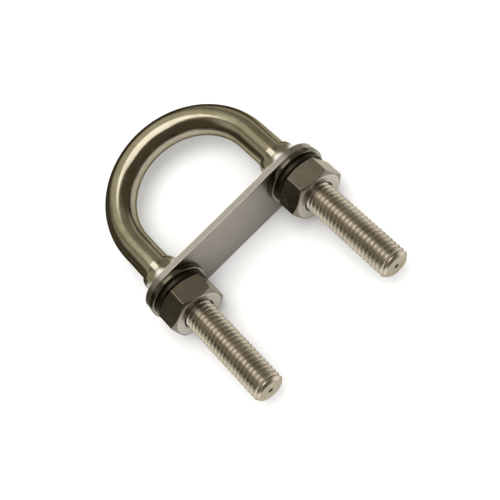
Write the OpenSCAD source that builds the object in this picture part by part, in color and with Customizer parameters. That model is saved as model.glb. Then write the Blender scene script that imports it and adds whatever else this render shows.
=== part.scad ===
// U-bolt with pressed ears, a clamp plate, and a flat washer, a spring washer and a hex nut on each leg.
// It lies flat: X runs across the legs, the legs point along -Y, the arch is at +Y and Z is up.
// The origin is midway between the legs, on the face of the plate that the washers press on.

/* [Rod] */
// Diameter of the round bar, which is also the major diameter of the thread
rod_d = 10; // [8:0.5:12]
// Distance between the axes of the two legs
leg_spacing = 50; // [44:1:80]
// Distance from the washers' side of the plate to the centre of the arch
arch_y = 20.5; // [16:0.5:60]
// Length of each leg from the washers' side of the plate to its free end
leg_len = 45; // [36:1:90]
// Chamfer at the free end of each leg
end_chamfer = 1; // [0.6:0.1:1.4]
// Diameter of the small centre mark in each free end
centre_mark_d = 1.6; // [1:0.1:2.4]

/* [Thread] */
// Pitch of the thread
pitch = 1.5; // [1.25:0.25:1.75]
// Number of thread rings cut in the rod, from the free face of the nut inwards
ring_count = 6; // [4:1:6]

/* [Ears] */
// Radius of each round ear that is pressed out of the rod
ear_r = 4; // [3:0.1:4.4]
// How far each ear stands out past the rod
ear_proud = 0.9; // [0.6:0.1:1.2]
// Radius of the punch that presses the rod's two flat sides
punch_r = 4.5; // [3.5:0.1:6]
// Depth of the punch mark
punch_depth = 0.7; // [0.5:0.1:1.2]

/* [Plate] */
// Thickness of the plate
plate_t = 2; // [1.5:0.1:4]
// Width of the plate, which has round ends
plate_w = 19.5; // [17:0.5:26]
// Clearance of the plate's holes around the rod, on the radius
plate_clear = 0.5; // [0.3:0.1:0.8]

/* [Washers] */
// Outer diameter of the flat washer
flat_od = 20; // [18.5:0.5:24]
// Thickness of the flat washer
flat_t = 2; // [1.5:0.1:2.5]
// Outer diameter of the spring washer
lock_od = 18; // [16.5:0.1:18.1]
// Thickness of the spring washer when it is pressed flat
lock_t = 1.8; // [1.5:0.1:2.2]
// Width of the slanted gap in the spring washer
lock_gap = 1.2; // [0.8:0.1:1.6]
// Clearance of both washers' holes around the rod, on the radius
washer_clear = 0.25; // [0.1:0.05:0.4]

/* [Nut] */
// Width of the nut across its flats
nut_af = 17; // [16:0.5:19]
// Height of the nut
nut_h = 8; // [6:0.5:10]
// Clearance of the nut's bore around the thread, on the radius
nut_clear = 0.05; // [0.02:0.01:0.1]
// Angle of the left nut's first corner from +X
left_nut_angle = 36; // [0:1:60]
// Angle of the right nut's first corner from +X
right_nut_angle = 51; // [0:1:60]

/* [Hidden] */
$fn = 72;

LEFT = -1;
RIGHT = 1;
rod_r = rod_d / 2;
// Depth of an ISO thread, and the widths of its crest and its root as shares of the pitch
thread_depth = 0.6134 * pitch;
crest_w = pitch / 8;
root_w = pitch / 4;
// The stack along a leg, measured from the washers' side of the plate
nut_start = flat_t + lock_t;
nut_end = nut_start + nut_h;
// The last thread ring ends just past the free face of the nut
past_nut = 0.3;
rings_start = nut_end + past_nut - ring_count * pitch;
centre_mark_depth = centre_mark_d / 2;
// The ears sit just above the plate
ear_gap = 0.1;
ear_y = plate_t + ear_gap + ear_r;
ear_x = rod_r + ear_proud - ear_r;
// The nut's corners are cut back by a cone that leaves a round face on both sides
face_share = 0.95;
corner_r = nut_af / 2 / cos(30);
face_r = nut_af / 2 * face_share;
cone_rise = (corner_r - face_r) * tan(30);
mouth = 0.5;
// Turn of the slanted gap around its leg, and its slant
gap_turn = -60;
gap_slant = 25;
over = 1;

// Puts its children on a leg, with their +Z towards the leg's free end
module on_leg(side) {
    translate([side * leg_spacing / 2, 0, 0]) rotate([90, 0, 0]) children();
}

// A round tube from height z0, open from end to end
module ring(outer_r, inner_r, z0, height) {
    translate([0, 0, z0]) difference() {
        cylinder(r = outer_r, h = height);
        translate([0, 0, -over]) cylinder(r = inner_r, h = height + 2 * over);
    }
}

// One leg, turned from its own outline: plain bar, thread rings under the nut, chamfered free end
module leg() {
    flank = (pitch - crest_w - root_w) / 2;
    rings = [for (i = [0 : ring_count - 1], step = [
                 [rod_r, 0],
                 [rod_r - thread_depth, flank],
                 [rod_r - thread_depth, flank + root_w],
                 [rod_r, 2 * flank + root_w]])
             [step[0], rings_start + i * pitch + step[1]]];
    rotate_extrude()
        polygon(concat(
            [[0, -arch_y], [rod_r, -arch_y]],
            rings,
            [[rod_r, leg_len - end_chamfer],
             [rod_r - end_chamfer, leg_len],
             [centre_mark_d / 2, leg_len],
             [0, leg_len - centre_mark_depth]]));
}

// The ears and punch marks of one leg
module pressed_leg() {
    difference() {
        union() {
            leg();
            for (s = [-1, 1]) translate([s * ear_x, 0, -ear_y]) sphere(r = ear_r);
        }
        for (s = [-1, 1])
            translate([0, s * (rod_r + punch_r - punch_depth), -ear_y]) sphere(r = punch_r);
    }
}

// The bent rod: a half-circle arch and two legs in one piece
module u_rod() {
    color("#b3ab97") {
        translate([0, arch_y, 0])
            rotate_extrude(angle = 180) translate([leg_spacing / 2, 0]) circle(r = rod_r);
        for (side = [LEFT, RIGHT]) on_leg(side) pressed_leg();
    }
}

// The flat clamp plate, with round ends and a hole for each leg
module plate() {
    color("#a9a39b") rotate([90, 0, 0]) translate([0, 0, -plate_t])
        linear_extrude(plate_t) difference() {
            union() {
                square([leg_spacing, plate_w], center = true);
                for (side = [LEFT, RIGHT])
                    translate([side * leg_spacing / 2, 0]) circle(d = plate_w);
            }
            for (side = [LEFT, RIGHT])
                translate([side * leg_spacing / 2, 0]) circle(r = rod_r + plate_clear);
        }
}

module flat_washer(side) {
    color("#8f8b82") on_leg(side) ring(flat_od / 2, rod_r + washer_clear, 0, flat_t);
}

// A split ring, shown pressed flat
module lock_washer(side) {
    color("#5d5648") on_leg(side) difference() {
        ring(lock_od / 2, rod_r + washer_clear, flat_t, lock_t);
        rotate([0, 0, gap_turn]) translate([0, -lock_od / 2, flat_t + lock_t / 2])
            rotate([0, gap_slant, 0]) cube([lock_gap, lock_od, 4 * lock_t], center = true);
    }
}

// A hexagon nut, chamfered on both sides, with a plain bore in place of its thread
module nut(side, angle) {
    color("#6f695c") on_leg(side) translate([0, 0, nut_start]) difference() {
        intersection() {
            rotate([0, 0, angle]) cylinder(r = corner_r, h = nut_h, $fn = 6);
            rotate_extrude() polygon([
                [0, 0], [face_r, 0], [corner_r, cone_rise],
                [corner_r, nut_h - cone_rise], [face_r, nut_h], [0, nut_h]]);
        }
        translate([0, 0, -over]) cylinder(r = rod_r + nut_clear, h = nut_h + 2 * over);
        for (flip = [0, 1]) translate([0, 0, flip * nut_h]) mirror([0, 0, flip])
            translate([0, 0, -over]) cylinder(
                r1 = rod_r + nut_clear + mouth + over, r2 = rod_r + nut_clear, h = mouth + over);
    }
}

u_rod();
plate();
flat_washer(LEFT);  // left_flat_washer
flat_washer(RIGHT);  // right_flat_washer
lock_washer(LEFT);  // left_lock_washer
lock_washer(RIGHT);  // right_lock_washer
nut(LEFT, left_nut_angle);  // left_nut
nut(RIGHT, right_nut_angle);  // right_nut
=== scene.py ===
"""A stainless U-bolt with a clamp plate, washers and nuts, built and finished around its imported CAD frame."""

import logging
import math
from dataclasses import dataclass, field
from enum import Enum

import bpy
import numpy as np
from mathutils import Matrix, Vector


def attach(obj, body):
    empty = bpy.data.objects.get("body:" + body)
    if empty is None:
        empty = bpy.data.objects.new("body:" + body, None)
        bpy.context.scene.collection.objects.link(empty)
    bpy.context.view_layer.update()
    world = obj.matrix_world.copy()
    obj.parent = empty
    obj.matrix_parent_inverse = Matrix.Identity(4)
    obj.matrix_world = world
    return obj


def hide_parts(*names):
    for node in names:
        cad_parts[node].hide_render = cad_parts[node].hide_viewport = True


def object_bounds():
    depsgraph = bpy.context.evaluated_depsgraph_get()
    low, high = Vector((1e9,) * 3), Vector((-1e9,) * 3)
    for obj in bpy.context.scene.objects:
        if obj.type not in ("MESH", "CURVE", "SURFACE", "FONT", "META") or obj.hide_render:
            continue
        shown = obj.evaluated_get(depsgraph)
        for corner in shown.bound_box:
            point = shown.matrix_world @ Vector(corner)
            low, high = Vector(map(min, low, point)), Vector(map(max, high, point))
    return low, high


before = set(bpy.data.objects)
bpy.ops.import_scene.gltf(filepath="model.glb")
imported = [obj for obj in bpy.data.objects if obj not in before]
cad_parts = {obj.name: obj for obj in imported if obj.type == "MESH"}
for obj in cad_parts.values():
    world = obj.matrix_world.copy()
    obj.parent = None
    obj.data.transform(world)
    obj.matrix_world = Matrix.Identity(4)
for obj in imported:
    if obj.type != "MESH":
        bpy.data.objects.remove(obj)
CAD_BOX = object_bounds()

Outline = list[tuple[float, float]]
Colour = tuple[float, float, float]
Links = dict[str | int, object]
MM = 0.001
TURN = 2 * math.pi
SEAM = 1e-6  # vertices closer than this are one
TRIM = 1e-8  # how near a trimming plane a vertex counts as on it
FACE_GAP = 0.01 * MM  # keeps the flat faces that touch in the stack from sharing a plane
LOG = logging.getLogger("u_bolt")


class Side(Enum):
    """The two legs, by the sign of their X."""

    LEFT = -1
    RIGHT = 1

    @property
    def word(self) -> str:
        """The leg's name as the CAD nodes spell it."""
        return self.name.lower()


class Cut(Enum):
    """How a tool body acts on the piece it meets."""

    REMOVE = "DIFFERENCE"
    KEEP_SHARED = "INTERSECT"
    ADD = "UNION"


# ------------------------------------------------------------------ bench work


class Bench:
    """The steps of mesh work that every piece shares."""

    @staticmethod
    def clear() -> None:
        """Leaves object mode with nothing selected."""
        if bpy.context.object and bpy.context.object.mode != "OBJECT":
            Bench.done()
        bpy.ops.object.select_all(action="DESELECT")

    @staticmethod
    def choose(piece: bpy.types.Object) -> None:
        """Makes one object the only selected and active one."""
        Bench.clear()
        piece.select_set(True)
        bpy.context.view_layer.objects.active = piece

    @staticmethod
    def deselect(piece: bpy.types.Object) -> None:
        """Leaves one object active in object mode, with none of its vertices selected."""
        Bench.choose(piece)
        Bench.to_edit()
        bpy.ops.mesh.select_mode(type="VERT")
        bpy.ops.mesh.select_all(action="DESELECT")
        Bench.done()

    @staticmethod
    def to_edit() -> None:
        """Enters edit mode, with the selection that code has made."""
        bpy.ops.object.mode_set(mode="EDIT")

    @staticmethod
    def done() -> None:
        """Returns to object mode."""
        bpy.ops.object.mode_set(mode="OBJECT")

    @staticmethod
    def line(name: str, outline: Outline) -> bpy.types.Object:
        """Draws an open line of vertices in the XZ plane by extruding from one point.

        Args:
            name: The object's name.
            outline: Radius and height of each point, in metres.

        Returns:
            The new object.
        """
        Bench.clear()
        bpy.ops.mesh.primitive_plane_add(size=MM)
        piece = bpy.context.object
        piece.name = piece.data.name = name
        Bench.to_edit()
        bpy.ops.mesh.select_all(action="SELECT")
        bpy.ops.mesh.merge(type="CENTER")
        bpy.ops.transform.translate(value=(outline[0][0], 0, outline[0][1]))
        for (r0, z0), (r1, z1) in zip(outline, outline[1:]):
            bpy.ops.mesh.extrude_vertices_move(
                TRANSFORM_OT_translate={"value": (r1 - r0, 0, z1 - z0)})
        Bench.done()
        return piece

    @staticmethod
    def turn(name: str, outline: Outline, steps: int = 144) -> bpy.types.Object:
        """Spins an outline round the Z axis, as on a lathe.

        Args:
            name: The object's name.
            outline: Radius and height of each point; the first and last meet, or lie on the axis.
            steps: Number of steps in the full turn.

        Returns:
            The closed body.
        """
        piece = Bench.line(name, outline)
        Bench.to_edit()
        bpy.ops.mesh.select_all(action="SELECT")
        bpy.ops.mesh.spin(steps=steps, angle=TURN, center=(0, 0, 0), axis=(0, 0, 1))
        Bench.tidy_in_edit()
        return piece

    @staticmethod
    def tidy_in_edit() -> None:
        """Merges doubles, turns the faces outwards and returns to object mode."""
        bpy.ops.mesh.select_all(action="SELECT")
        bpy.ops.mesh.remove_doubles(threshold=SEAM)
        bpy.ops.mesh.select_all(action="SELECT")
        bpy.ops.mesh.normals_make_consistent(inside=False)
        Bench.done()

    @staticmethod
    def apply(piece: bpy.types.Object, kind: str, **settings: object) -> None:
        """Adds one modifier with its settings and applies it.

        Args:
            piece: The object to change.
            kind: The modifier's type.
            settings: The modifier's own values.
        """
        Bench.choose(piece)
        modifier = piece.modifiers.new(kind.lower(), kind)
        for key, value in settings.items():
            setattr(modifier, key, value)
        bpy.ops.object.modifier_apply(modifier=modifier.name)

    @staticmethod
    def combine(piece: bpy.types.Object, tool: bpy.types.Object, cut: Cut) -> None:
        """Joins, cuts or trims a piece with a tool body, which is then thrown away.

        Args:
            piece: The object to change.
            tool: The body that acts on it.
            cut: What the tool does.
        """
        Bench.apply(piece, "BOOLEAN", object=tool, operation=cut.value, solver="MANIFOLD")
        bpy.data.objects.remove(tool)

    @staticmethod
    def soften(piece: bpy.types.Object, width: float, segments: int = 3, over: float = 40.0) -> None:
        """Rounds every edge that is sharper than an angle.

        Args:
            piece: The object to change.
            width: Width of the rounding, in metres.
            segments: Number of facets across it.
            over: The least angle of an edge that is rounded, in degrees.
        """
        Bench.apply(piece, "BEVEL", width=width, segments=segments, limit_method="ANGLE",
                    angle_limit=math.radians(over), use_clamp_overlap=True, offset_type="WIDTH")

    @staticmethod
    def smooth(piece: bpy.types.Object, angle: float = 45.0) -> None:
        """Smooths the shading and keeps flat faces flat.

        Args:
            piece: The object to change.
            angle: Edges sharper than this stay sharp, in degrees.
        """
        Bench.choose(piece)
        bpy.ops.object.shade_smooth_by_angle(angle=math.radians(angle))
        Bench.apply(piece, "WEIGHTED_NORMAL", keep_sharp=True, weight=80)

    @staticmethod
    def settle(piece: bpy.types.Object) -> None:
        """Puts the object's place and turn into its mesh."""
        Bench.choose(piece)
        bpy.ops.object.transform_apply(location=True, rotation=True, scale=True)

    @staticmethod
    def onto_leg(piece: bpy.types.Object, side: Side, spacing: float) -> None:
        """Moves a body made along +Z onto a leg, with +Z towards the leg's free end.

        Args:
            piece: The body to move.
            side: The leg.
            spacing: Distance between the legs, in metres.
        """
        piece.rotation_euler = (math.pi / 2, 0, 0)
        piece.location = (side.value * spacing / 2, 0, 0)
        Bench.settle(piece)


def rounded(corners: Outline, radius: float, segments: int = 4) -> Outline:
    """Rounds the inner corners of an open outline.

    Args:
        corners: The sharp outline.
        radius: Distance from each corner at which its rounding starts, in metres.
        segments: Number of steps in each rounding.

    Returns:
        The outline with its first and last points kept.
    """
    short_of_half = 0.45
    points = [corners[0]]
    for before, corner, after in zip(corners, corners[1:], corners[2:]):
        at = Vector(corner)
        back, ahead = Vector(before) - at, Vector(after) - at
        reach = min(radius, back.length * short_of_half, ahead.length * short_of_half)
        start, end = at + back.normalized() * reach, at + ahead.normalized() * reach
        for i in range(segments + 1):
            t = i / segments
            spot = start.lerp(at, t).lerp(at.lerp(end, t), t)
            points.append((spot.x, spot.y))
    return points + [corners[-1]]


def rounded_loop(corners: Outline, radius: float) -> Outline:
    """Rounds every corner of a closed outline.

    Args:
        corners: The corners, each once.
        radius: Distance from each corner at which its rounding starts, in metres.

    Returns:
        A closed outline, whose last point is its first again.
    """
    ring = rounded([corners[-1]] + corners + [corners[0]], radius)[1:-1]
    return ring + [ring[0]]


# ------------------------------------------------------------------ shader work


@dataclass
class Board:
    """One node tree, with short ways to place nodes and wire them."""

    tree: bpy.types.NodeTree

    def node(self, kind: str, links: Links | None = None, **settings: object) -> bpy.types.Node:
        """Places a node, sets its properties, and fills or links its inputs.

        Args:
            kind: The node's type name after ShaderNode.
            links: Input name or number to a plain value or to another node's output.
            settings: The node's own properties.

        Returns:
            The new node.
        """
        made = self.tree.nodes.new("ShaderNode" + kind)
        made.location = (180 * len(self.tree.nodes), 0)
        for key, value in settings.items():
            setattr(made, key, value)
        for key, value in (links or {}).items():
            if isinstance(value, bpy.types.NodeSocket):
                self.tree.links.new(value, made.inputs[key])
            else:
                made.inputs[key].default_value = value
        return made

    def math(self, operation: str, first: object, second: object = 0.0, clamp: bool = False
             ) -> bpy.types.NodeSocket:
        """A Math node's result on two values or outputs."""
        return self.node("Math", {0: first, 1: second}, operation=operation, use_clamp=clamp).outputs[0]

    def spread(self, value: object, low: float, high: float, to_low: float = 0.0, to_high: float = 1.0
               ) -> bpy.types.NodeSocket:
        """Maps one range of a value smoothly onto another."""
        return self.node("MapRange", {"Value": value, "From Min": low, "From Max": high, "To Min": to_low,
                                      "To Max": to_high}, interpolation_type="SMOOTHSTEP").outputs[0]

    def blend(self, share: object, under: object, over: object) -> bpy.types.NodeSocket:
        """Mixes two colours by a share."""
        return self.node("Mix", {0: share, 6: under, 7: over}, data_type="RGBA").outputs[2]

    def noise(self, vector: object, scale: object, detail: float = 4.0, rough: float = 0.6, twist: float = 0.0
              ) -> bpy.types.NodeSocket:
        """Noise on a vector, as a value from 0 to 1."""
        return self.node("TexNoise", {"Vector": vector, "Scale": scale, "Detail": detail,
                                      "Roughness": rough, "Distortion": twist}).outputs[0]

    def stretched(self, vector: object, scale: tuple[float, float, float], turn: float = 0.0
                  ) -> bpy.types.NodeSocket:
        """A vector scaled on each axis, after a turn about Z in radians."""
        return self.node("Mapping", {"Vector": vector, "Rotation": (0, 0, turn), "Scale": scale}).outputs[0]


class Effects:
    """The shader node groups that several finishes share, each made once."""

    made: dict[str, bpy.types.NodeTree] = {}
    samples = 6

    @classmethod
    def group(cls, name: str, inputs: dict[str, float | None], outputs: list[str]
              ) -> tuple[Board, bpy.types.Node, bpy.types.Node]:
        """Starts a node group with named sockets.

        Args:
            name: The group's name.
            inputs: Each input's starting value, or None for a vector.
            outputs: Names of the outputs, all values.

        Returns:
            The board, the group's input node and its output node.
        """
        tree = bpy.data.node_groups.new(name, "ShaderNodeTree")
        for label, value in inputs.items():
            kind = "NodeSocketVector" if value is None else "NodeSocketFloat"
            socket = tree.interface.new_socket(label, in_out="INPUT", socket_type=kind)
            if value is not None:
                socket.default_value = value
        for label in outputs:
            tree.interface.new_socket(label, in_out="OUTPUT", socket_type="NodeSocketFloat")
        cls.made[name] = tree
        board = Board(tree)
        return board, tree.nodes.new("NodeGroupInput"), tree.nodes.new("NodeGroupOutput")

    @classmethod
    def place(cls, board: Board, name: str, links: Links) -> bpy.types.Node:
        """Puts a group in a material's tree."""
        return board.node("Group", links, node_tree=cls.made[name])

    @classmethod
    def build(cls) -> None:
        """Makes every shared group."""
        cls.edge_wear()
        cls.painted_crevice_shade()
        cls.handling_scratches()
        cls.mottle()

    @classmethod
    def edge_wear(cls) -> None:
        """Edges rubbed bright: where a rounded normal leaves the true one, broken up by noise."""
        board, given, result = cls.group(
            "edge_wear", {"Vector": None, "Radius": 0.3 * MM, "Breakup": 900.0}, ["Mask"])
        rounded_normal = board.node(
            "Bevel", {"Radius": given.outputs["Radius"]}, samples=cls.samples).outputs[0]
        true_normal = board.node("NewGeometry").outputs["True Normal"]
        aligned = board.node("VectorMath", {0: rounded_normal, 1: true_normal},
                             operation="DOT_PRODUCT").outputs[1]
        lost = board.math("SUBTRACT", 1.0, aligned)
        patchy = board.spread(board.noise(given.outputs["Vector"], given.outputs["Breakup"]), 0.3, 0.62, 0.35)
        mask = board.math("MULTIPLY", board.spread(lost, 0.01, 0.14), patchy, clamp=True)
        board.tree.links.new(mask, result.inputs["Mask"])

    @classmethod
    def painted_crevice_shade(cls) -> None:
        """Painted shade: the colour darkens where surfaces face each other closely, from ambient occlusion."""
        board, given, result = cls.group("painted_crevice_shade", {"Vector": None, "Reach": 1.2 * MM}, ["Mask"])
        open_sky = board.node("AmbientOcclusion", {"Distance": given.outputs["Reach"]},
                              samples=cls.samples).outputs["AO"]
        hidden = board.spread(board.math("SUBTRACT", 1.0, open_sky), 0.25, 0.95)
        patchy = board.spread(board.noise(given.outputs["Vector"], 700.0), 0.3, 0.7, 0.5)
        board.tree.links.new(board.math("MULTIPLY", hidden, patchy, clamp=True), result.inputs["Mask"])

    @classmethod
    def handling_scratches(cls) -> None:
        """Thin scratches in two crossing directions, where stretched noise passes its middle value."""
        board, given, result = cls.group("handling_scratches", {"Vector": None, "Scale": 1.0}, ["Mask"])
        sized = board.node("VectorMath", {0: given.outputs["Vector"], 3: given.outputs["Scale"]},
                           operation="SCALE").outputs[0]
        lines = []
        for turn, share in ((0.5, 0.53), (-0.9, 0.56)):
            along = board.stretched(sized, (90, 1500, 600), turn)
            past_middle = board.math("SUBTRACT", board.noise(along, 1.0, 1.0, 0.5, 0.3), 0.5)
            ridge = board.math("ABSOLUTE", past_middle)
            thin = board.spread(ridge, 0.0, 0.012, 1.0, 0.0)
            where = board.spread(board.noise(sized, 140.0, 2.0), share, share + 0.1)
            lines.append(board.math("MULTIPLY", thin, where))
        board.tree.links.new(board.math("MAXIMUM", *lines), result.inputs["Mask"])

    @classmethod
    def mottle(cls) -> None:
        """Soft patches of slightly different tone over a fine peened grain."""
        board, given, result = cls.group("mottle", {"Vector": None, "Patch": 120.0, "Grain": 2600.0},
                                         ["Patches", "Pits"])
        clouds = board.noise(given.outputs["Vector"], given.outputs["Patch"], 5.0, 0.65, 0.4)
        patches = board.spread(clouds, 0.3, 0.7)
        pits = board.noise(given.outputs["Vector"], given.outputs["Grain"], 3.0, 0.7)
        board.tree.links.new(patches, result.inputs["Patches"])
        board.tree.links.new(pits, result.inputs["Pits"])


@dataclass(frozen=True)
class SteelFinish:
    """A steel surface. All the finishes on this hardware are values of this one recipe.

    The grain is noise stretched by grain_scale. Where along_bar is true, it reads the straightened
    bar's own coordinates, so that the draw lines follow the bend, the pressed spots get a painted
    highlight and the centre marks get painted shade. Faced is the share of a brighter tone on the flat
    end faces, which were machined after the sides, and chamfer_shade the share of painted shade on the
    slopes round them. Lengths and depths are in metres.
    """

    name: str
    bright: Colour
    dull: Colour
    roughness: float
    roughness_swing: float
    grain_scale: tuple[float, float, float]
    grain_depth: float
    pit_depth: float
    # Colour of the edge wear, and of the painted highlight on the pressed spots.
    wear_and_highlight_colour: Colour = (0.86, 0.84, 0.79)
    wear_radius: float = 0.25 * MM
    wear_share: float = 0.6
    # Strength and reach of the painted shade in crevices, bores and gaps between parts.
    grime: float = 0.7
    grime_reach: float = 1.2 * MM
    edge_tint: Colour = (0.8, 0.78, 0.7)
    scratch_share: float = 0.3
    faced: float = 0.0
    chamfer_shade: float = 0.0
    faced_colour: Colour = (0.64, 0.615, 0.58)
    chamfer_shade_colour: Colour = (0.06, 0.052, 0.04)
    painted_shade_colour: Colour = (0.03, 0.024, 0.014)
    # Colour of the painted shade in crevices and in the centre marks.
    scratch_depth: float = 2e-6
    # How much the painted highlight on the pressed spots lowers Metallic.
    press_highlight_film: float = 0.55
    along_bar: bool = False

    def build(self) -> bpy.types.Material:
        """Makes the material.

        Returns:
            The finished node material.
        """
        material = bpy.data.materials.new(self.name)
        material.use_nodes = True
        tree = material.node_tree
        tree.nodes.clear()
        board = Board(tree)
        place = board.node("TexCoord").outputs["Object"]
        path = place
        if self.along_bar:
            path = board.node("Attribute", attribute_name="bar_path").outputs["Vector"]

        grain = board.noise(board.stretched(path, self.grain_scale), 1.0, 5.0, 0.62)
        mottle = Effects.place(board, "mottle", {"Vector": place})
        scratches = Effects.place(board, "handling_scratches", {"Vector": place}).outputs["Mask"]
        wear = Effects.place(
            board, "edge_wear", {"Vector": place, "Radius": self.wear_radius}).outputs["Mask"]
        # Painted shade: ambient occlusion darkens crevices, bores and the gaps between parts.
        grime = Effects.place(
            board, "painted_crevice_shade", {"Vector": place, "Reach": self.grime_reach}).outputs["Mask"]
        patches, pits = mottle.outputs["Patches"], mottle.outputs["Pits"]

        tone = board.math("ADD", board.math("MULTIPLY", patches, 0.6), board.math("MULTIPLY", grain, 0.4))
        colour = board.blend(tone, (*self.dull, 1), (*self.bright, 1))
        if self.faced:
            normal = board.node("TexCoord").outputs["Normal"]
            normal_y = board.node("SeparateXYZ", {0: normal}).outputs["Y"]
            facing = board.math("ABSOLUTE", normal_y)
            flat_end = board.spread(facing, 0.93, 0.985, 0.0, self.faced)
            colour = board.blend(board.math("MULTIPLY", flat_end, board.spread(tone, 0.1, 0.9, 0.8)),
                                 colour, (*self.faced_colour, 1))
            # Painted shade on the chamfer slopes round the flat end faces, which also holds back the edge wear
            # there.
            slope = board.math("MULTIPLY", board.spread(facing, 0.35, 0.55),
                               board.spread(facing, 0.93, 0.98, 1.0, 0.0))
            chamfer_shaded = board.math("MULTIPLY", slope, self.chamfer_shade)
            wear = board.math("MULTIPLY", wear, board.math("SUBTRACT", 1.0, chamfer_shaded))
            colour = board.blend(chamfer_shaded, colour, (*self.chamfer_shade_colour, 1))
        wear_and_highlight = board.math("MULTIPLY", wear, self.wear_share, clamp=True)
        if self.along_bar:
            # Painted highlight on the pressed ears and dents, joined with the edge wear in the bright wear
            # colour.
            press_highlight = board.node("Attribute", attribute_name="press_highlight").outputs["Fac"]
            wear_and_highlight = board.math("MAXIMUM", wear_and_highlight, press_highlight)
        colour = board.blend(wear_and_highlight, colour, (*self.wear_and_highlight_colour, 1))
        # The painted shade is mixed into the colour here.
        shaded = board.math("MULTIPLY", grime, self.grime, clamp=True)
        if self.along_bar:
            # Painted shade inside the centre mark on each leg's end.
            across = board.node("VectorMath", {0: path, 1: (1, 1, 0)}, operation="MULTIPLY").outputs[0]
            from_axis = board.node("VectorMath", {0: across}, operation="LENGTH").outputs["Value"]
            shaded = board.math("MAXIMUM", shaded, board.spread(from_axis, 0.75 * MM, 0.9 * MM, 0.9, 0.0))
        colour = board.blend(shaded, colour, (*self.painted_shade_colour, 1))

        rough = board.math("ADD", self.roughness - self.roughness_swing / 2,
                           board.math("MULTIPLY", tone, self.roughness_swing))
        rough = board.math("ADD", rough, board.math("MULTIPLY", scratches, self.scratch_share * 0.5))
        rough = board.math("SUBTRACT", rough, board.math("MULTIPLY", wear_and_highlight, 0.06))
        rough = board.math("ADD", rough, board.math("MULTIPLY", shaded, 0.25), clamp=True)

        relief = board.math("ADD", board.math("MULTIPLY", grain, self.grain_depth),
                            board.math("MULTIPLY", pits, self.pit_depth))
        cut = board.math("MULTIPLY", scratches, self.scratch_share * self.scratch_depth)
        relief = board.math("SUBTRACT", relief, cut)
        normal = board.node("Bump", {"Height": relief, "Strength": 1.0, "Distance": 1.0}).outputs[0]

        metal: object = 1.0
        if self.along_bar:
            # The painted highlight also lowers Metallic by press_highlight_film.
            metal = board.math("SUBTRACT", 1.0, board.math("MULTIPLY", press_highlight, self.press_highlight_film))
        shader = board.node("BsdfPrincipled", {
            "Base Color": colour, "Metallic": metal, "Roughness": rough, "Normal": normal,
            "Specular Tint": (*self.edge_tint, 1)})
        board.node("OutputMaterial", {"Surface": shader.outputs[0]})
        return material


BAR_FINISH = SteelFinish(
    name="polished_bar", bright=(0.44, 0.41, 0.33), dull=(0.32, 0.29, 0.215),
    roughness=0.17, roughness_swing=0.1, grain_scale=(900, 900, 30), grain_depth=2.0e-6, pit_depth=0.8e-6,
    edge_tint=(0.24, 0.22, 0.15), wear_share=0.35, grime=0.8, grime_reach=1.5 * MM, along_bar=True)
THREAD_FINISH = SteelFinish(
    name="rolled_thread", bright=(0.64, 0.59, 0.51), dull=(0.46, 0.42, 0.35),
    roughness=0.29, roughness_swing=0.12, grain_scale=(700, 700, 200), grain_depth=2.0e-6, pit_depth=1.5e-6,
    edge_tint=(0.3, 0.27, 0.2), wear_share=0.4, wear_radius=0.15 * MM, grime=0.5, grime_reach=0.9 * MM,
    along_bar=True)
PLATE_FINISH = SteelFinish(
    name="rolled_strip", bright=(0.335, 0.314, 0.292), dull=(0.28, 0.26, 0.24),
    roughness=0.31, roughness_swing=0.1, grain_scale=(25, 900, 900), grain_depth=1.5e-6, pit_depth=1.0e-6,
    wear_radius=0.4 * MM, wear_share=0.7, scratch_share=0.5, grime=0.5)
WASHER_FINISH = SteelFinish(
    name="tumbled_washer", bright=(0.16, 0.146, 0.12), dull=(0.09, 0.08, 0.06),
    roughness=0.19, roughness_swing=0.14, grain_scale=(500, 500, 500), grain_depth=1.5e-6, pit_depth=2.0e-6,
    wear_share=1.0, scratch_share=0.4, grime=0.9, grime_reach=2 * MM, faced=0.6)
# Painted shade: the spring washer's colour is near black. It stands in for the deep shade in the gap between
# the flat washer and the nut.
SHADED_SPRING_FINISH = SteelFinish(
    name="spring_steel_painted_shade", bright=(0.06, 0.053, 0.04), dull=(0.034, 0.029, 0.02),
    roughness=0.38, roughness_swing=0.14, grain_scale=(300, 300, 1800), grain_depth=2.0e-6, pit_depth=2.0e-6,
    wear_share=0.15, grime=0.95, grime_reach=3 * MM)
NUT_FINISH = SteelFinish(
    name="forged_nut", bright=(0.31, 0.285, 0.245), dull=(0.23, 0.205, 0.165),
    roughness=0.25, roughness_swing=0.12, grain_scale=(700, 1100, 700), grain_depth=2.0e-6, pit_depth=2.2e-6,
    wear_radius=0.4 * MM, wear_share=0.8, scratch_share=0.4, grime=0.92, grime_reach=2.4 * MM,
    faced=0.8, chamfer_shade=0.35)


def dress(piece: bpy.types.Object, finish: SteelFinish, body: str, node: str) -> None:
    """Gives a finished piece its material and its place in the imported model.

    Args:
        piece: The finished mesh.
        finish: Its finish.
        body: The CAD body that it rides on.
        node: The CAD node that it stands for.
    """
    material = bpy.data.materials.get(finish.name) or finish.build()
    piece.data.materials.clear()
    piece.data.materials.append(material)
    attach(piece, body)
    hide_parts(node)
    LOG.info("%s: %d faces on %s", piece.name, len(piece.data.polygons), body)


# ------------------------------------------------------------------ the hardware


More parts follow.
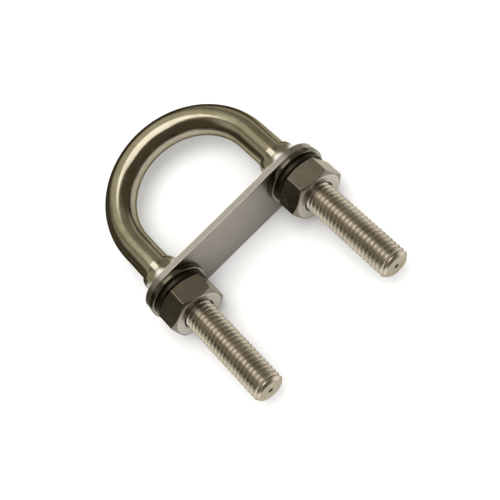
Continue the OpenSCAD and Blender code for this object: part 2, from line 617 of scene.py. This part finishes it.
@dataclass
class Thread:
    """A right-hand metric thread along +Z, with its first root at height 0."""

    pitch: float = 1.5 * MM
    crest_r: float = 4.98 * MM
    root_r: float = 4.1 * MM
    steps: int = 72
    root_share: float = 8
    crest_share: float = 13
    corner_round: float = 0.15 * MM
    flank_slope: float = 0.6

    def body(self, name: str, low: float, high: float, ease: float = 0.0, root_lift: float = 0.0
             ) -> bpy.types.Object:
        """Screws one tooth's outline into a solid threaded bar.

        Args:
            name: The object's name.
            low: Height of the bar's lower end, in metres.
            high: Height of its upper end.
            ease: How much the crest and the flanks stand out for clearance.
            root_lift: How much the root is raised, as a nut's is.

        Returns:
            The closed body between the two heights.
        """
        half_root = self.pitch / self.root_share - ease * self.flank_slope
        half_crest = self.pitch / self.crest_share + ease * self.flank_slope
        root, crest = self.root_r + root_lift, self.crest_r + ease
        tooth = rounded([
            (root, 0), (root, half_root), (crest, self.pitch / 2 - half_crest),
            (crest, self.pitch / 2 + half_crest), (root, self.pitch - half_root), (root, self.pitch),
        ], self.corner_round, 3)
        first = math.floor(low / self.pitch) - 1
        piece = Bench.line(name, [(r, z + first * self.pitch) for r, z in tooth])
        Bench.apply(piece, "SCREW", axis="Z", angle=TURN, screw_offset=self.pitch,
                    iterations=math.ceil(high / self.pitch) + 1 - first, steps=self.steps,
                    render_steps=self.steps, use_merge_vertices=False)
        Bench.deselect(piece)
        Bench.to_edit()
        bpy.ops.mesh.select_all(action="SELECT")
        bpy.ops.mesh.remove_doubles(threshold=SEAM)
        for height, upward in ((low, 1), (high, -1)):
            bpy.ops.mesh.select_all(action="SELECT")
            bpy.ops.mesh.bisect(plane_co=(0, 0, height), plane_no=(0, 0, upward),
                                use_fill=True, clear_inner=True, threshold=TRIM)
        Bench.tidy_in_edit()
        return piece


@dataclass
class BentBar:
    """The round bar: a half-circle arch, two legs with pressed ears, and a thread on each leg."""

    bar_r: float = 5 * MM
    spacing: float = 50 * MM
    arch_y: float = 20.5 * MM
    leg: float = 45 * MM
    chamfer: float = 1 * MM
    thread_start: float = 3.1 * MM
    run_out: float = 2.4 * MM
    mark_r: float = 0.8 * MM
    ear_y: float = 6.1 * MM
    ear_proud: float = 1.25 * MM
    ear_reach: float = 2.6 * MM
    ear_half: tuple[float, float] = (1.1 * MM, 1.7 * MM)
    punch_depth: float = 0.4 * MM
    punch_reach: float = 2.6 * MM
    around: int = 128
    bend_steps: int = 40
    neck_cut: float = 0.15 * MM
    overlap: float = 1.3 * MM
    spare: float = 0.3 * MM
    # Reach and fall-off of the painted highlight round each pressed spot, in millimetres.
    press_highlight_reach: float = 2.9
    press_highlight_fade: float = 1.4
    thread: Thread = field(default_factory=Thread)

    def build(self) -> bpy.types.Object:
        """Models the whole bar.

        Returns:
            The bar as one closed mesh.
        """
        bar = self.smooth_half()
        self.press_ears(bar)
        Bench.apply(bar, "MIRROR", use_axis=(True, False, False), use_clip=False, merge_threshold=SEAM)
        Bench.deselect(bar)
        Bench.to_edit()
        Bench.tidy_in_edit()
        for side in Side:
            Bench.combine(bar, self.threaded_leg(side), Cut.ADD)
        Bench.smooth(bar, 38)
        self.straightened_coordinates(bar)
        return bar

    def smooth_half(self) -> bpy.types.Object:
        """Extrudes the right leg along +Y and spins it to the middle of the arch.

        Returns:
            Half of the smooth bar, open at X 0.
        """
        Bench.clear()
        x, tip = self.spacing / 2, -self.thread_start - self.run_out
        neck_r = self.thread.root_r - self.neck_cut
        bpy.ops.mesh.primitive_circle_add(vertices=self.around, radius=neck_r, fill_type="NGON",
                                          location=(x, tip, 0), rotation=(math.pi / 2, 0, 0))
        bar = bpy.context.object
        bar.name = bar.data.name = "bent_bar"
        Bench.settle(bar)
        Bench.to_edit()
        bpy.ops.mesh.select_mode(type="FACE")
        bpy.ops.mesh.select_all(action="SELECT")
        bpy.ops.mesh.extrude_region_move(TRANSFORM_OT_translate={"value": (0, self.run_out, 0)})
        grow = self.bar_r / neck_r
        bpy.ops.transform.resize(value=(grow, 1, grow), center_override=(x, -self.thread_start, 0))
        here = -self.thread_start
        for end, pace in ((2.2, 1.6), (10.2, 0.2), (self.arch_y / MM, 1.3)):
            count = max(1, round((end * MM - here) / (pace * MM)))
            step = (end * MM - here) / count
            for _ in range(count):
                bpy.ops.mesh.extrude_region_move(TRANSFORM_OT_translate={"value": (0, step, 0)})
            here = end * MM
        bpy.ops.mesh.spin(steps=self.bend_steps, angle=-math.pi / 2, center=(0, self.arch_y, 0),
                          axis=(0, 0, 1))
        bpy.ops.mesh.delete(type="FACE")
        Bench.tidy_in_edit()
        low = min(v.co.x for v in bar.data.vertices)
        if low < -SEAM:
            raise ValueError(f"the arch turned the wrong way, to x = {low:g}")
        return bar

    def press_ears(self, bar: bpy.types.Object) -> None:
        """Pinches the leg: two dents in line with Z and two ears that bulge along X.

        Args:
            bar: The half bar, whose leg is on the right.
        """
        x = self.spacing / 2
        for direction, reach, travel, fall in (
                ((0, 1), self.punch_reach, -self.punch_depth, "SMOOTH"),
                ((0, -1), self.punch_reach, -self.punch_depth, "SMOOTH"),
                ((1, 0), self.ear_reach, self.ear_proud, "SPHERE"),
                ((-1, 0), self.ear_reach, self.ear_proud, "SPHERE")):
            spot = Vector((x + direction[0] * self.bar_r, self.ear_y, direction[1] * self.bar_r))
            Bench.deselect(bar)
            half_y, half_side = self.ear_half
            for vertex in bar.data.vertices:
                off = vertex.co - spot
                across = off.z if direction[0] else off.x
                vertex.select = abs(off.y) < half_y and abs(across) < half_side and (
                    off.x * direction[0] + off.z * direction[1] > -self.bar_r / 2)
            Bench.to_edit()
            bpy.ops.transform.translate(
                value=(direction[0] * travel, 0, direction[1] * travel), use_proportional_edit=True,
                proportional_edit_falloff=fall, proportional_size=reach)
            Bench.done()

    def threaded_leg(self, side: Side) -> bpy.types.Object:
        """Trims a threaded bar to the chamfered and centre-marked shape of a leg's end.

        Args:
            side: The leg.

        Returns:
            The threaded part of the leg, in place.
        """
        top = self.thread_start - self.overlap
        leg = self.thread.body(f"{side.word}_thread", top, self.leg + 1 * MM)
        blank_r = self.bar_r + self.spare
        blank = Bench.turn("blank", [
            (0, top - 1 * MM), (blank_r, top - 1 * MM), (blank_r, self.leg - self.chamfer - self.spare),
            (self.bar_r - self.chamfer, self.leg), (self.mark_r, self.leg),
            (0, self.leg - self.mark_r)])
        Bench.combine(leg, blank, Cut.KEEP_SHARED)
        Bench.onto_leg(leg, side, self.spacing)
        return leg

    def straightened_coordinates(self, bar: bpy.types.Object) -> None:
        """Writes each vertex's place in the bar before bending, for marks that follow the bend.

        Args:
            bar: The finished bar.
        """
        co = np.zeros(len(bar.data.vertices) * 3, np.float32)
        bar.data.vertices.foreach_get("co", co)
        co = co.reshape(-1, 3)
        half = self.spacing / 2
        sign = np.where(co[:, 0] < 0, -1.0, 1.0)
        rise = np.maximum(co[:, 1] - self.arch_y, 0)
        from_centre = np.hypot(co[:, 0], rise)
        out = np.where(rise > 0, from_centre - half, np.abs(co[:, 0]) - half)
        angle = np.arctan2(rise, np.abs(co[:, 0]))
        length = np.where(rise > 0, half * angle, co[:, 1] - self.arch_y)
        path = np.stack([out, co[:, 2], sign * (length - half * math.pi / 2)], 1).astype(np.float32)
        layer = bar.data.attributes.new("bar_path", "FLOAT_VECTOR", "POINT")
        layer.data.foreach_set("vector", path.ravel())
        self.painted_press_highlights(bar, np.stack([out, co[:, 1], co[:, 2]], 1))

    def painted_press_highlights(self, bar: bpy.types.Object, place: np.ndarray) -> None:
        """Paints a highlight where the press tool left the ears and the dents.

        Args:
            bar: The finished bar.
            place: Each vertex's place, with X measured outwards from its leg's axis.
        """
        # Painted highlight spots: on each ear's flanks and on each dent.
        ear_x, ear_z = self.bar_r + 0.6 * MM, 1.9 * MM
        bright_y = self.ear_y - 1.5 * MM
        spots = [(x, bright_y, z) for x in (-ear_x, ear_x) for z in (-ear_z, ear_z)]
        spots += [(0, bright_y - 0.3 * MM, -self.bar_r), (0, bright_y - 0.3 * MM, self.bar_r)]
        highlight = np.zeros(len(place))
        for spot in spots:
            away = np.linalg.norm(place - np.array(spot), axis=1) / MM
            highlight = np.maximum(highlight, np.clip((self.press_highlight_reach - away) / self.press_highlight_fade, 0, 1))
        layer = bar.data.attributes.new("press_highlight", "FLOAT", "POINT")
        layer.data.foreach_set("value", highlight.astype(np.float32))

    def dress(self, bar: bpy.types.Object) -> None:
        """Gives the bar its finishes and body: one for the smooth bar, one for the rolled thread."""
        dress(bar, BAR_FINISH, "rod", "u_rod")
        bar.data.materials.append(THREAD_FINISH.build())
        for face in bar.data.polygons:
            if face.center.y < -self.thread_start - self.run_out / 2:
                face.material_index = 1


@dataclass
class ClampPlate:
    """A strip with round ends and a hole for each leg, blanked so that its edges are rolled over."""

    spacing: float = 50 * MM
    width: float = 19.5 * MM
    thickness: float = 2 * MM
    hole_r: float = 5.5 * MM
    edge: float = 0.28 * MM
    around: int = 192

    def build(self) -> bpy.types.Object:
        """Models the plate.

        Returns:
            The plate, with its washers' face at Y 0.
        """
        Bench.clear()
        bpy.ops.mesh.primitive_cylinder_add(
            vertices=self.around, radius=self.width / 2, depth=self.thickness, end_fill_type="NGON",
            location=(0, self.thickness / 2, 0), rotation=(math.pi / 2, math.pi / self.around, 0))
        plate = bpy.context.object
        plate.name = plate.data.name = "clamp_plate"
        Bench.settle(plate)
        for side in Side:
            Bench.deselect(plate)
            for vertex in plate.data.vertices:
                vertex.select = vertex.co.x * side.value > 0
            Bench.to_edit()
            bpy.ops.transform.translate(value=(side.value * self.spacing / 2, 0, 0))
            Bench.done()
        reach = 2 * self.thickness
        for side in Side:
            punch = Bench.turn("punch", [
                (0, -reach), (self.hole_r, -reach), (self.hole_r, reach), (0, reach)])
            Bench.onto_leg(punch, side, self.spacing)
            Bench.combine(plate, punch, Cut.REMOVE)
        Bench.soften(plate, self.edge, 4)
        Bench.smooth(plate)
        return plate

    def dress(self, plate: bpy.types.Object) -> None:
        """Gives the plate its finish and body."""
        dress(plate, PLATE_FINISH, "plate", "plate")


@dataclass
class Ring:
    """What both kinds of washer start from: a ring a hair short of the two faces that it touches."""

    side: Side
    spacing: float = 50 * MM
    outer_r: float = 10 * MM
    bore_r: float = 5.25 * MM
    start: float = 0.0
    thickness: float = 2 * MM
    edge: float = 0.4 * MM

    def blank(self, name: str) -> bpy.types.Object:
        """Turns the ring round the Z axis, with rounded edges."""
        low, high = self.start + FACE_GAP, self.start + self.thickness - FACE_GAP
        return Bench.turn(f"{self.side.word}_{name}", rounded_loop([
            (self.bore_r, low), (self.outer_r, low), (self.outer_r, high), (self.bore_r, high),
        ], self.edge), 192)


@dataclass
class FlatWasher(Ring):
    """A stamped washer with rounded edges."""

    def build(self) -> bpy.types.Object:
        """Turns the washer on its leg.

        Returns:
            The washer.
        """
        washer = self.blank("washer")
        Bench.onto_leg(washer, self.side, self.spacing)
        Bench.smooth(washer)
        return washer

    def dress(self, washer: bpy.types.Object) -> None:
        """Gives the washer its finish and body."""
        word = self.side.word
        dress(washer, WASHER_FINISH, f"{word}_washer", f"{word}_flat_washer")


@dataclass
class SpringWasher(Ring):
    """A split ring pressed flat, with a slanted gap."""

    outer_r: float = 9 * MM
    start: float = 2 * MM
    thickness: float = 1.8 * MM
    gap: float = 1.2 * MM
    gap_turn: float = -60.0
    gap_slant: float = 25.0
    edge: float = 0.3 * MM
    cut_edge: float = 0.08 * MM

    def build(self) -> bpy.types.Object:
        """Turns the ring and cuts its gap.

        Returns:
            The spring washer on its leg.
        """
        ring = self.blank("spring_washer")
        Bench.clear()
        bpy.ops.mesh.primitive_cube_add(size=1)
        saw = bpy.context.object
        saw.scale = (self.gap, self.outer_r, 4 * self.thickness)
        Bench.settle(saw)
        saw.rotation_euler = (0, math.radians(self.gap_slant), 0)
        Bench.settle(saw)
        saw.location = (0, -self.outer_r, self.start + self.thickness / 2)
        Bench.settle(saw)
        saw.rotation_euler = (0, 0, math.radians(self.gap_turn))
        Bench.settle(saw)
        Bench.combine(ring, saw, Cut.REMOVE)
        Bench.soften(ring, self.cut_edge, 2, 50)
        Bench.onto_leg(ring, self.side, self.spacing)
        Bench.smooth(ring)
        return ring

    def dress(self, ring: bpy.types.Object) -> None:
        """Gives the spring washer its finish and body."""
        word = self.side.word
        dress(ring, SHADED_SPRING_FINISH, f"{word}_lock", f"{word}_lock_washer")


@dataclass
class HexNut:
    """A hexagon nut, chamfered on both faces, tapped right through."""

    side: Side
    angle: float
    spacing: float = 50 * MM
    across_flats: float = 17 * MM
    start: float = 3.8 * MM
    height: float = 8 * MM
    face_share: float = 0.95
    corner_round: float = 0.3 * MM
    mouth_r: float = 5.45 * MM
    mouth_slope: float = 0.75
    mouth_depth: float = 1.6 * MM
    crown_reach: float = 0.6 * MM
    crown_round: float = 0.25 * MM
    edge: float = 0.12 * MM
    flank_ease: float = 0.05 * MM
    root_lift: float = 0.09 * MM
    thread: Thread = field(default_factory=Thread)

    def build(self) -> bpy.types.Object:
        """Forges the hexagon, turns its chamfers and taps it.

        Returns:
            The nut on its leg.
        """
        corner_r = self.across_flats / 2 / math.cos(math.pi / 6)
        low, high = self.start + FACE_GAP, self.start + self.height
        middle = (low + high) / 2
        Bench.clear()
        bpy.ops.mesh.primitive_cylinder_add(
            vertices=6, radius=corner_r, depth=high - low, end_fill_type="NGON", location=(0, 0, middle),
            rotation=(0, 0, math.radians(self.angle - 90)))
        nut = bpy.context.object
        nut.name = nut.data.name = f"{self.side.word}_hex_nut"
        Bench.settle(nut)
        Bench.soften(nut, self.corner_round, 3, 50)
        face_r = self.across_flats / 2 * self.face_share
        rise = (corner_r - face_r) * math.tan(math.pi / 6)
        crown_r = corner_r + self.crown_reach
        lift = rise * (crown_r - face_r) / (corner_r - face_r)
        crown = Bench.turn("crown", rounded([
            (0, low), (face_r, low), (crown_r, low + lift), (crown_r, high - lift),
            (face_r, high), (0, high)], self.crown_round), 180)
        Bench.combine(nut, crown, Cut.KEEP_SHARED)
        Bench.soften(nut, self.edge, 2, 35)
        self.tap(nut, low, high)
        Bench.onto_leg(nut, self.side, self.spacing)
        Bench.smooth(nut, 40)
        return nut

    def tap(self, nut: bpy.types.Object, low: float, high: float) -> None:
        """Cuts the internal thread and the countersink on each face.

        Args:
            nut: The blank nut.
            low: Height of its face by the washers.
            high: Height of its free face.
        """
        tap = self.thread.body("tap", low - 1 * MM, high + 1 * MM, self.flank_ease, self.root_lift)
        for face, outward in ((low, -1), (high, 1)):
            above, below = face + outward * MM, face - outward * self.mouth_depth
            sink = Bench.turn("sink", [
                (0, above), (self.mouth_r + self.mouth_slope ** -1 * MM, above), (self.mouth_r, face),
                (self.mouth_r - self.mouth_depth / self.mouth_slope, below), (0, below)], 96)
            Bench.combine(nut, sink, Cut.REMOVE)
        Bench.combine(nut, tap, Cut.REMOVE)

    def dress(self, nut: bpy.types.Object) -> None:
        """Gives the nut its finish and body."""
        dress(nut, NUT_FINISH, f"{self.side.word}_nut", f"{self.side.word}_nut")


# ------------------------------------------------------------------ the studio


@dataclass(frozen=True)
class SoftLight:
    """A rectangular area light that looks at the middle of the hardware."""

    name: str
    azimuth: float
    elevation: float
    distance: float
    size: tuple[float, float]
    power: float
    colour: Colour = (1.0, 0.985, 0.95)
    mirrored: bool = True

    def build(self, target: Vector) -> None:
        """Hangs the light.

        Args:
            target: The point that it looks at.
        """
        a, e = math.radians(self.azimuth), math.radians(self.elevation)
        back = Vector((math.sin(a) * math.cos(e), -math.cos(a) * math.cos(e), math.sin(e)))
        lamp = bpy.data.lights.new(self.name, "AREA")
        lamp.shape, lamp.energy, lamp.color = "RECTANGLE", self.power, self.colour
        lamp.size, lamp.size_y = self.size
        holder = bpy.data.objects.new(self.name, lamp)
        bpy.context.scene.collection.objects.link(holder)
        holder.location = target + back * self.distance
        holder.rotation_euler = (-back).to_track_quat("-Z", "Y").to_euler()
        holder.visible_glossy = self.mirrored


@dataclass
class Studio:
    """The pale floor, the surroundings, the soft lights and the camera.

    The metal mirrors the floor dark to the left of left_span and beyond arch_span, and bright
    elsewhere and everywhere short of ear_span.
    """

    camera_place: tuple[float, float, float] = (-0.010114, -0.149516, 0.265761)
    camera_turn: tuple[float, float, float] = (21.8242, 18.0276, -41.4275)
    lens: float = 72.316
    floor_size: float = 8.0
    floor_tones: tuple[Colour, Colour] = ((0.84, 0.84, 0.835), (0.87, 0.87, 0.865))
    mirrored_tones: tuple[Colour, Colour] = ((0.1, 0.088, 0.06), (0.8, 0.79, 0.76))
    left_span: tuple[float, float] = (-31 * MM, -26 * MM)
    arch_span: tuple[float, float] = (40 * MM, 46 * MM)
    ear_span: tuple[float, float] = (8 * MM, 12 * MM)
    backdrop: Colour = (0.99, 0.99, 0.985)
    backdrop_strength: float = 1.06
    room_tones: tuple[tuple[float, Colour], ...] = (
        (0.0, (0.06, 0.052, 0.035)), (0.3, (0.12, 0.108, 0.08)), (0.55, (0.34, 0.31, 0.25)),
        (1.0, (0.36, 0.335, 0.27)))
    lights: tuple[SoftLight, ...] = (
        SoftLight("softbox_over", 180, 83.5, 0.6, (0.38, 0.46), 1.22),
        SoftLight("wash_high", 20, 75, 1.2, (2.0, 2.0), 9, (1.0, 1.0, 1.0), mirrored=False),
    )

    def build(self, low: Vector, high: Vector) -> None:
        """Sets up the whole studio round the hardware.

        Args:
            low: Lowest corner of the hardware.
            high: Highest corner of the hardware.
        """
        bpy.context.scene.view_settings.view_transform = "Standard"
        self.camera()
        self.floor(low.z)
        self.surroundings()
        for light in self.lights:
            light.build((low + high) / 2)

    def camera(self) -> None:
        """Makes the camera."""
        lens = bpy.data.cameras.new("camera")
        lens.lens, lens.sensor_width = self.lens, 36
        lens.clip_start, lens.clip_end = 0.01, 50
        holder = bpy.data.objects.new("camera", lens)
        bpy.context.scene.collection.objects.link(holder)
        holder.location = self.camera_place
        holder.rotation_euler = [math.radians(t) for t in self.camera_turn]
        bpy.context.scene.camera = holder

    def floor(self, height: float) -> None:
        """Lays the pale floor, which the metal mirrors in a quieter tone away from the hardware's front.

        Args:
            height: Its height, where the hardware touches it.
        """
        Bench.clear()
        bpy.ops.mesh.primitive_plane_add(size=self.floor_size, location=(0, 0, height))
        floor = bpy.context.object
        floor.name = "floor"
        material = bpy.data.materials.new("pale_floor")
        material.use_nodes = True
        board = Board(material.node_tree)
        shader = material.node_tree.nodes["Principled BSDF"]
        place = board.node("TexCoord").outputs["Object"]
        tone = board.blend(board.noise(place, 3.0, 2.0), *((*tone, 1) for tone in self.floor_tones))
        board.tree.links.new(tone, shader.inputs["Base Color"])
        shader.inputs["Roughness"].default_value = 0.9
        shader.inputs["Specular IOR Level"].default_value = 0.1
        spot = board.node("SeparateXYZ", {0: place}).outputs
        front = board.math("MULTIPLY", board.spread(spot["X"], *self.left_span),
                           board.spread(spot["Y"], *self.arch_span, 1.0, 0.0))
        beside_ears = board.spread(spot["Y"], *self.ear_span, 1.0, 0.0)
        front = board.math("MAXIMUM", front, beside_ears)
        mirrored = board.node("BsdfDiffuse", {
            "Color": board.blend(front, *((*tone, 1) for tone in self.mirrored_tones))}).outputs[0]
        in_metal = board.node("LightPath").outputs["Is Glossy Ray"]
        both = board.node("MixShader", {0: in_metal, 1: shader.outputs[0], 2: mirrored}).outputs[0]
        board.tree.links.new(both, material.node_tree.nodes["Material Output"].inputs["Surface"])
        floor.data.materials.append(material)

    def surroundings(self) -> None:
        """Makes a dim room for the metal to mirror, inside a pale backdrop that lights the floor evenly."""
        world = bpy.data.worlds.new("studio")
        bpy.context.scene.world = world
        world.use_nodes = True
        world.node_tree.nodes.clear()
        board = Board(world.node_tree)
        way = board.node("SeparateXYZ", {0: board.node("TexCoord").outputs["Generated"]})
        ramp = board.node("ValToRGB", {0: way.outputs["Z"]})
        stops = ramp.color_ramp.elements
        lowest, *between, highest = self.room_tones
        for stop, (position, colour) in zip(stops, (lowest, highest)):
            stop.position, stop.color = position, (*colour, 1)
        for position, colour in between:
            stops.new(position).color = (*colour, 1)
        x, y, z = (way.outputs[axis] for axis in "XYZ")
        aside = board.math("ABSOLUTE", x)
        panels = (
            ((0.62, 0.57, 0.46), ((x, 0.25, 0.6, 0, 1), (z, 0.2, 0.5, 1, 0))),
            ((0.58, 0.54, 0.43), ((x, -0.6, -0.42, 1, 0), (z, 0.36, 0.5, 0, 1))),
            ((0.78, 0.75, 0.58), ((y, 0.35, 0.5, 0, 1), (aside, 0.15, 0.42, 1, 0), (z, 0.15, 0.42, 0, 1))),
            ((0.12, 0.105, 0.072), ((y, 0.02, 0.32, 1, 0),)),
        )
        room_colour = ramp.outputs[0]
        for colour, limits in panels:
            share: object = 1.0
            for limit in limits:
                share = board.math("MULTIPLY", share, board.spread(*limit))
            room_colour = board.blend(share, room_colour, (*colour, 1))
        pale = board.node("Background", {
            "Color": (*self.backdrop, 1), "Strength": self.backdrop_strength}).outputs[0]
        room = board.node("Background", {"Color": room_colour}).outputs[0]
        path = board.node("LightPath").outputs
        open_space = board.math("MAXIMUM", path["Is Camera Ray"], path["Is Diffuse Ray"])
        mixed = board.node("MixShader", {0: open_space, 1: room, 2: pale}).outputs[0]
        board.node("OutputWorld", {"Surface": mixed})


def main() -> None:
    """Builds the studio and every piece, in the order in which the hardware is put together."""
    logging.basicConfig(level=logging.INFO, format="%(name)s %(message)s")
    Studio().build(*CAD_BOX)
    Effects.build()
    nut_angles = {Side.LEFT: 36, Side.RIGHT: 51}
    assembly = [BentBar(), ClampPlate()]
    for side in Side:
        assembly += [FlatWasher(side), SpringWasher(side), HexNut(side, nut_angles[side])]
    for maker in assembly:
        maker.dress(maker.build())


if __name__ == "__main__":
    main()
